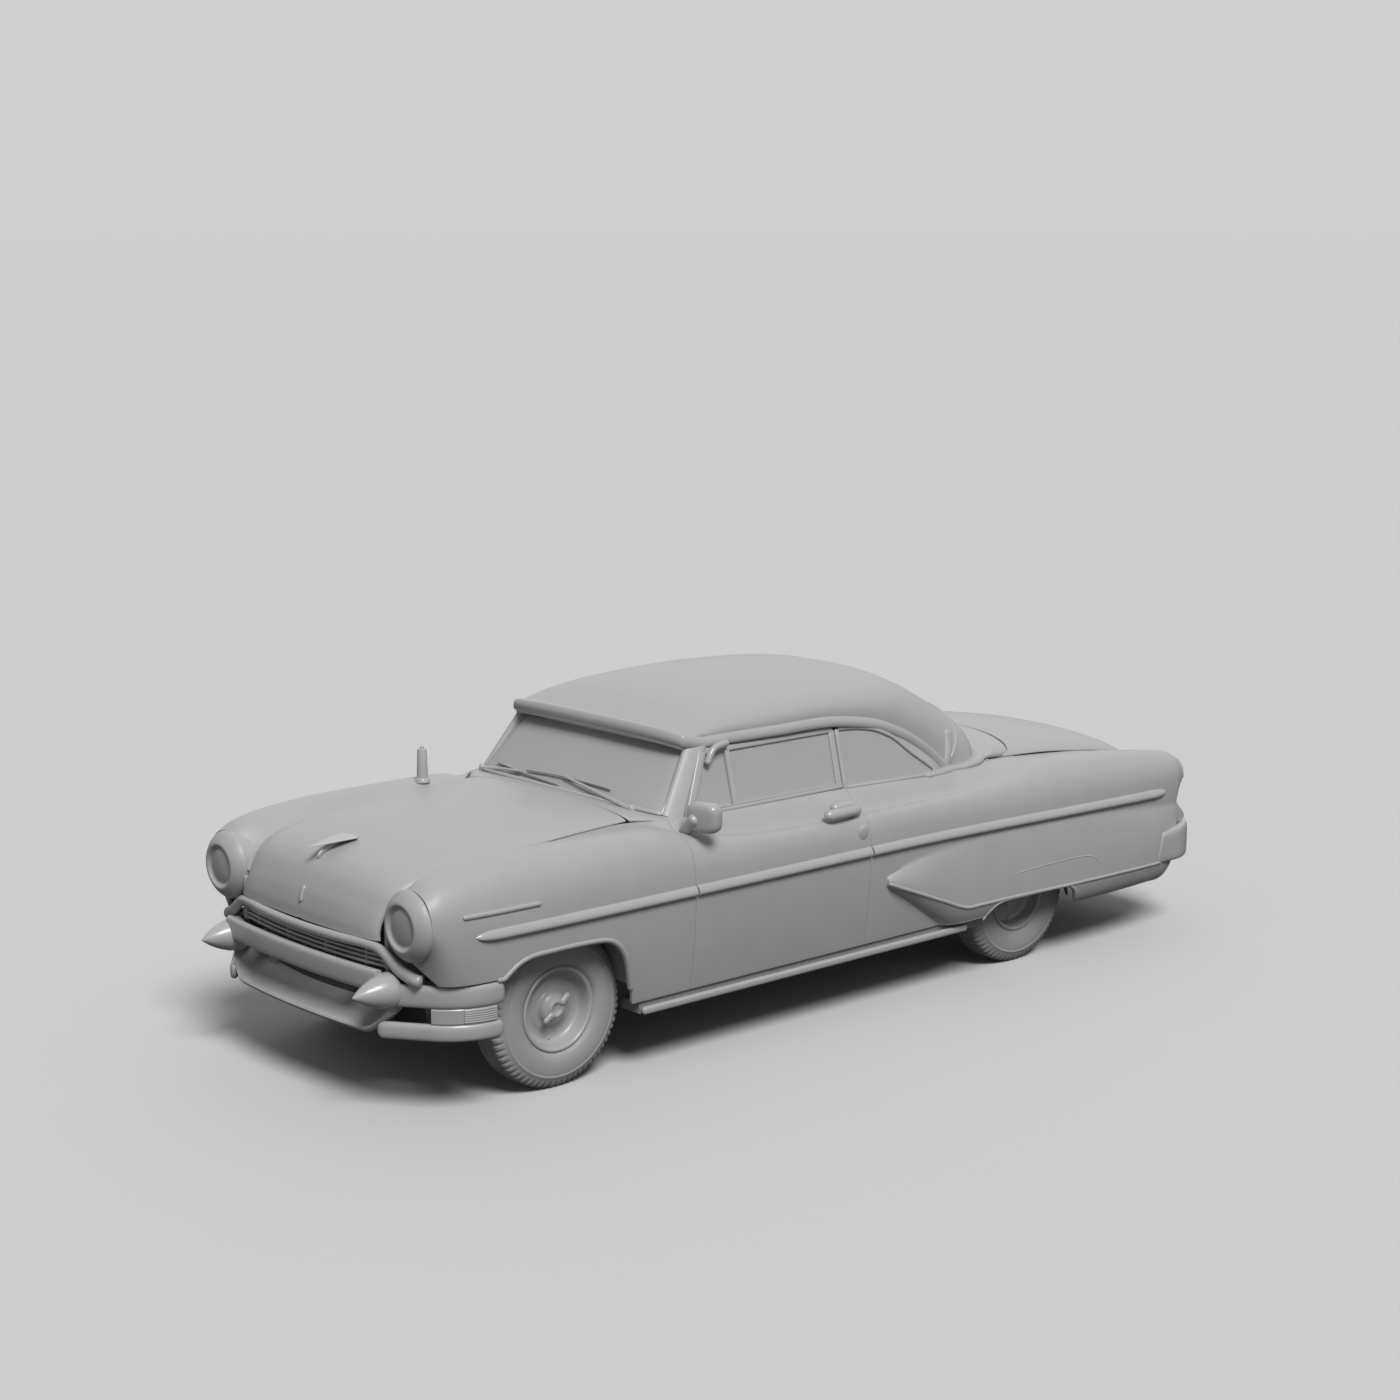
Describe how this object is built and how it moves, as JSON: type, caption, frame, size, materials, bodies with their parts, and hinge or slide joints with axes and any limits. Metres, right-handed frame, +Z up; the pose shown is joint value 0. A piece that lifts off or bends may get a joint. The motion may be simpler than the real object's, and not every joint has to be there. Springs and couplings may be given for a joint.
{
  "type": "two-door hardtop coupe",
  "caption": "Full-size mid-1950s two-door hardtop coupe with bullet bumper, wrap-round bumpers, spinner wheels and opening doors, hood and trunk lid.",
  "frame": {"origin": "on the ground below the middle of the car's bounding box", "axes": "+X forward along the car, +Y to the car's left, +Z up"},
  "size_m": [5.4975, 1.9718, 1.6401],
  "materials": {
    "paint": "smooth grey paint, satin",
    "bright": "polished grey metal",
    "glass": "grey tinted glass",
    "lens": "grey fluted lens",
    "wheel": "grey painted steel",
    "tyre": "matte grey rubber",
    "underbody": "dark grey chassis paint",
    "upholstery": "grey pleated upholstery",
    "cabin_trim": "grey cabin trim"
  },
  "bodies": {
    "body": {"sills": "paint", "cowl": "paint", "fender_left": "paint", "fender_right": "paint", "quarter_left": "paint", "quarter_right": "paint", "rear_deck": "paint", "tail_panel": "paint", "roof": "paint", "windshield_frame": "paint", "headlamp_surrounds": "paint", "drip_rails": "bright", "grille": "bright", "front_bumper": "bright", "rear_bumper": "bright", "body_mouldings": "bright", "wipers": "bright", "aerial": "bright", "windshield": "glass", "backlight": "glass", "quarter_glass": "glass", "headlamp_lenses": "lens", "parking_lamps": "lens", "tail_lamps": "lens", "chassis_frame": "underbody", "floor_pan": "underbody", "radiator": "underbody", "engine": "underbody", "drivetrain": "underbody", "exhaust": "underbody", "fuel_tank": "underbody", "front_suspension": "underbody", "rear_axle": "underbody", "front_seat": "upholstery", "rear_seat": "upholstery", "dashboard": "cabin_trim"},
    "door_left": {"door_left": "paint", "door_glass_left": "glass"},
    "door_right": {"door_right": "paint", "door_glass_right": "glass"},
    "hood": {"hood": "paint"},
    "trunk_lid": {"trunk_lid": "paint"},
    "steering_wheel": {"steering_wheel": "cabin_trim"},
    "knuckle_left": {"knuckle_left": "underbody"},
    "knuckle_right": {"knuckle_right": "underbody"},
    "wheel_front_left": {"wheel_front_left": "wheel", "tyre_front_left": "tyre"},
    "wheel_front_right": {"wheel_front_right": "wheel", "tyre_front_right": "tyre"},
    "wheel_rear_left": {"wheel_rear_left": "wheel", "tyre_rear_left": "tyre"},
    "wheel_rear_right": {"wheel_rear_right": "wheel", "tyre_rear_right": "tyre"}
  },
  "joints": [
    {"name": "door_left_swing", "type": "hinge", "parent": "body", "child": "door_left", "pos_m": [1.059, 0.985, 0.75], "axis": [0, 0, -1], "range_deg": [0, 65]},
    {"name": "door_right_swing", "type": "hinge", "parent": "body", "child": "door_right", "pos_m": [1.059, -0.985, 0.75], "axis": [0, 0, 1], "range_deg": [0, 65]},
    {"name": "hood_lift", "type": "hinge", "parent": "body", "child": "hood", "pos_m": [1.19, 0, 1.18], "axis": [0, -1, 0], "range_deg": [0, 50]},
    {"name": "trunk_lift", "type": "hinge", "parent": "body", "child": "trunk_lid", "pos_m": [-1.442, 0, 1.146], "axis": [0, 1, 0], "range_deg": [0, 60]},
    {"name": "steer_left", "type": "hinge", "parent": "body", "child": "knuckle_left", "pos_m": [1.76, 0.634, 0.37], "axis": [0, 0, 1], "range_deg": [-30, 30]},
    {"name": "steer_right", "type": "hinge", "parent": "body", "child": "knuckle_right", "pos_m": [1.76, -0.634, 0.37], "axis": [0, 0, 1], "range_deg": [-30, 30]},
    {"name": "steering_wheel_turn", "type": "hinge", "parent": "body", "child": "steering_wheel", "pos_m": [0.64, 0.39, 0.905], "axis": [-0.9152, 0, 0.4031], "range_deg": [-720, 720]},
    {"name": "spin_front_left", "type": "hinge", "parent": "knuckle_left", "child": "wheel_front_left", "pos_m": [1.76, 0.73, 0.37], "axis": [0, 1, 0], "continuous": true},
    {"name": "spin_front_right", "type": "hinge", "parent": "knuckle_right", "child": "wheel_front_right", "pos_m": [1.76, -0.73, 0.37], "axis": [0, 1, 0], "continuous": true},
    {"name": "spin_rear_left", "type": "hinge", "parent": "body", "child": "wheel_rear_left", "pos_m": [-1.364, 0.73, 0.37], "axis": [0, 1, 0], "continuous": true},
    {"name": "spin_rear_right", "type": "hinge", "parent": "body", "child": "wheel_rear_right", "pos_m": [-1.364, -0.73, 0.37], "axis": [0, 1, 0], "continuous": true}
  ],
  "couplings": [
    {"joint": "steer_right", "follows": "steer_left", "ratio": 1},
    {"joint": "steering_wheel_turn", "follows": "steer_left", "ratio": 24}
  ]
}
